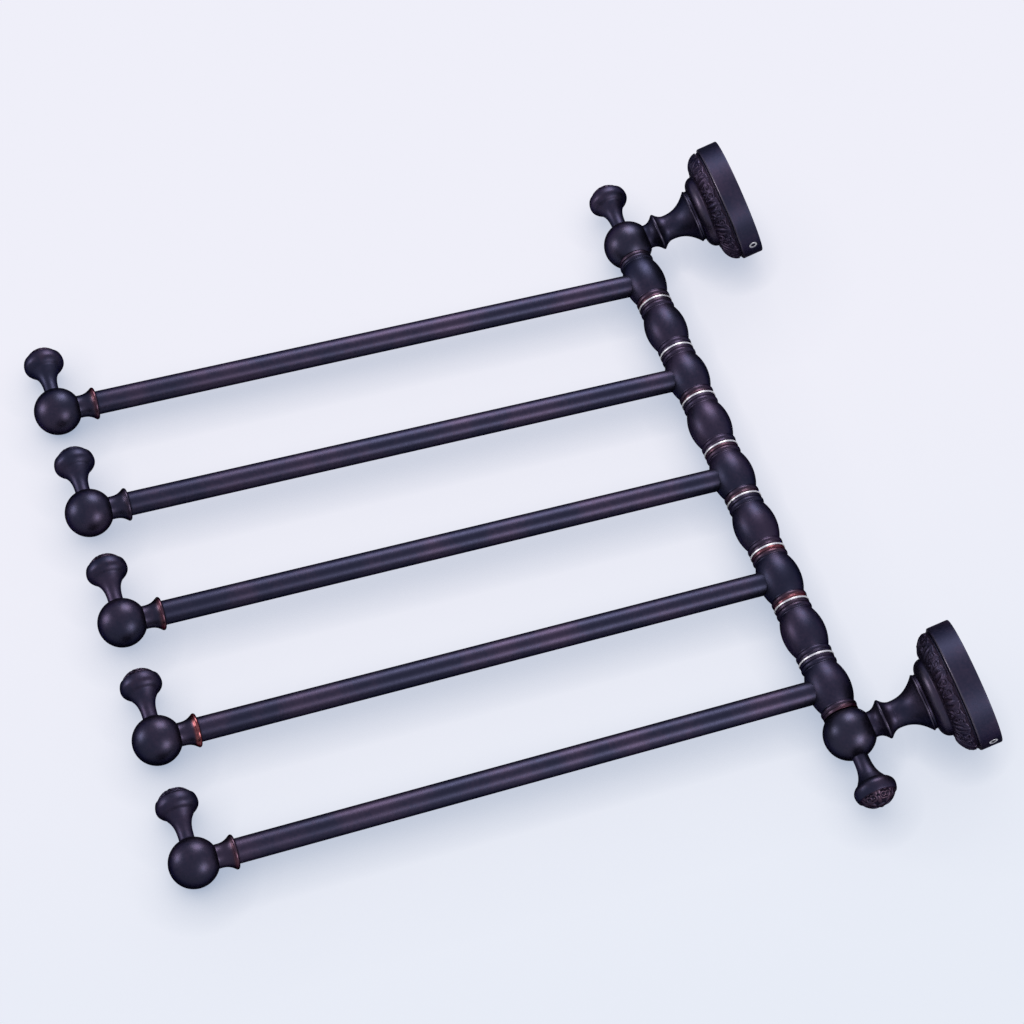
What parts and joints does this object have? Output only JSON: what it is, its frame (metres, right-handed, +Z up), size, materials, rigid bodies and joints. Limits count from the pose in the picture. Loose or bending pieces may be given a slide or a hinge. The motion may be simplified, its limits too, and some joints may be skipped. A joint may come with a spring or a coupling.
{
  "type": "swivel towel rack",
  "caption": "Wall-mounted towel rack whose ball-ended arms swing on an upright spindle, held off the wall by carved round flanges.",
  "frame": {"origin": "on the wall, at the centre of the four wall screw holes, midway between the flanges", "axes": "+Z up along the spindle, +Y into the wall, +X to the right of someone who faces the wall"},
  "size_m": [0.1669, 0.3781, 0.3882],
  "materials": {
    "bronze_turned": "oil-rubbed dark bronze over brass, satin, red copper worn through at ring edges",
    "bronze_tube": "oil-rubbed dark bronze over brass tube, satin",
    "bronze_carved": "oil-rubbed dark bronze over cast brass, carved dome, satin band",
    "bronze_finial": "oil-rubbed dark bronze, copper worn through on the carved tips",
    "washer_steel": "bright plain edge",
    "screw_steel": "plain steel",
    "plate_steel": "zinc-plated steel",
    "spindle_steel": "plain steel rod"
  },
  "bodies": {
    "frame": {"upper_wall_plate": "plate_steel", "lower_wall_plate": "plate_steel", "upper_flange": "bronze_carved", "lower_flange": "bronze_carved", "upper_grub_screw": "screw_steel", "lower_grub_screw": "screw_steel", "upper_post": "bronze_turned", "lower_post": "bronze_turned", "upper_post_screw": "screw_steel", "lower_post_screw": "screw_steel", "upper_ball": "bronze_turned", "lower_ball": "bronze_turned", "top_finial": "bronze_finial", "bottom_finial": "bronze_finial", "spindle": "spindle_steel", "washer_1": "washer_steel", "washer_2": "washer_steel", "washer_3": "washer_steel", "washer_4": "washer_steel", "washer_5": "washer_steel", "washer_6": "washer_steel", "washer_7": "washer_steel", "washer_8": "washer_steel"},
    "arm_1": {"hub_1": "bronze_turned", "tube_pin_1": "screw_steel", "arm_tube_1": "bronze_tube", "arm_end_1": "bronze_turned", "arm_finial_1": "bronze_finial"},
    "arm_2": {"hub_2": "bronze_turned", "tube_pin_2": "screw_steel", "arm_tube_2": "bronze_tube", "arm_end_2": "bronze_turned", "arm_finial_2": "bronze_finial"},
    "arm_3": {"hub_3": "bronze_turned", "tube_pin_3": "screw_steel", "arm_tube_3": "bronze_tube", "arm_end_3": "bronze_turned", "arm_finial_3": "bronze_finial"},
    "arm_4": {"hub_4": "bronze_turned", "tube_pin_4": "screw_steel", "arm_tube_4": "bronze_tube", "arm_end_4": "bronze_turned", "arm_finial_4": "bronze_finial"},
    "arm_5": {"hub_5": "bronze_turned", "tube_pin_5": "screw_steel", "arm_tube_5": "bronze_tube", "arm_end_5": "bronze_turned", "arm_finial_5": "bronze_finial"},
    "bead_1": {"bead_1": "bronze_turned"},
    "bead_2": {"bead_2": "bronze_turned"},
    "bead_3": {"bead_3": "bronze_turned"},
    "bead_4": {"bead_4": "bronze_turned"}
  },
  "joints": [
    {"name": "arm_1_swing", "type": "hinge", "parent": "frame", "child": "arm_1", "pos_m": [0, -0.066, 0.128], "axis": [0, 0, 1], "range_deg": [-111.8, 68.2]},
    {"name": "arm_2_swing", "type": "hinge", "parent": "frame", "child": "arm_2", "pos_m": [0, -0.066, 0.064], "axis": [0, 0, 1], "range_deg": [-112.3, 67.7]},
    {"name": "arm_3_swing", "type": "hinge", "parent": "frame", "child": "arm_3", "pos_m": [0, -0.066, 0], "axis": [0, 0, 1], "range_deg": [-112.3, 67.7]},
    {"name": "arm_4_swing", "type": "hinge", "parent": "frame", "child": "arm_4", "pos_m": [0, -0.066, -0.064], "axis": [0, 0, 1], "range_deg": [-111.9, 68.1]},
    {"name": "arm_5_swing", "type": "hinge", "parent": "frame", "child": "arm_5", "pos_m": [0, -0.066, -0.128], "axis": [0, 0, 1], "range_deg": [-111.7, 68.3]},
    {"name": "bead_1_spin", "type": "hinge", "parent": "frame", "child": "bead_1", "pos_m": [0, -0.066, 0.096], "axis": [0, 0, 1], "continuous": true},
    {"name": "bead_2_spin", "type": "hinge", "parent": "frame", "child": "bead_2", "pos_m": [0, -0.066, 0.032], "axis": [0, 0, 1], "continuous": true},
    {"name": "bead_3_spin", "type": "hinge", "parent": "frame", "child": "bead_3", "pos_m": [0, -0.066, -0.032], "axis": [0, 0, 1], "continuous": true},
    {"name": "bead_4_spin", "type": "hinge", "parent": "frame", "child": "bead_4", "pos_m": [0, -0.066, -0.096], "axis": [0, 0, 1], "continuous": true}
  ]
}
